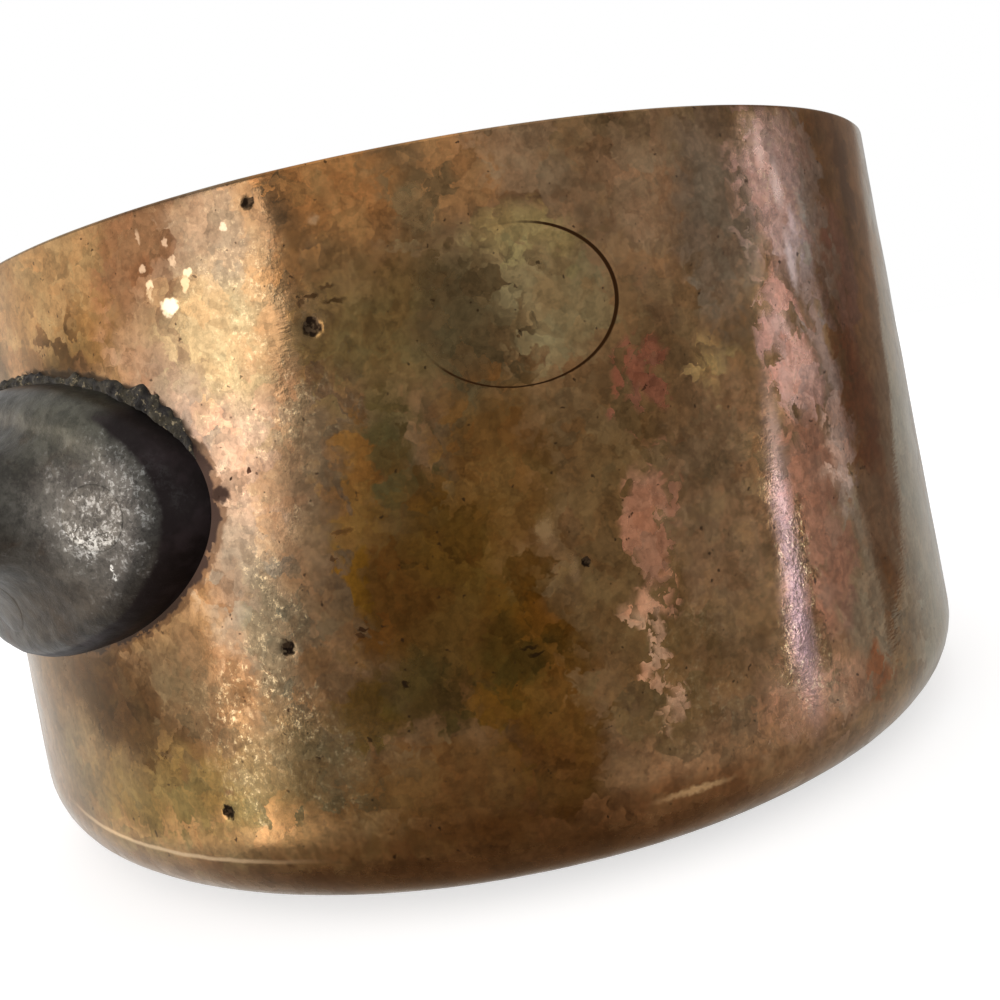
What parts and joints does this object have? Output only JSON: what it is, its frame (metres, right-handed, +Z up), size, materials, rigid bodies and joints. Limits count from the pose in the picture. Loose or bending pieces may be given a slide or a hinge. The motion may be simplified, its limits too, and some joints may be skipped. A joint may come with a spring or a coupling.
{
  "type": "saucepan",
  "caption": "Straight-sided copper saucepan, tinned inside, with a riveted cast-iron stick handle that ends in a hanging eye.",
  "frame": {"origin": "centre of the base, on the surface the pan stands on", "axes": "+Z up along the pan's axis, +X out along the handle, +Y to the left when looking from the pan out along the handle"},
  "size_m": [0.3506, 0.16, 0.1181],
  "materials": {
    "copper": "old copper sheet with a brown patina, satin to half glossy",
    "tin": "wiped tin, dulled by use",
    "iron": "blackened cast iron, worn to bright metal on the pad",
    "rivet": "copper rivet, tinned head inside, dark worn tail outside"
  },
  "bodies": {
    "root": {"pan_body": "copper", "tin_lining": "tin", "handle": "iron", "rivet_left": "rivet", "rivet_right": "rivet", "rivet_lower": "rivet"}
  },
  "joints": []
}
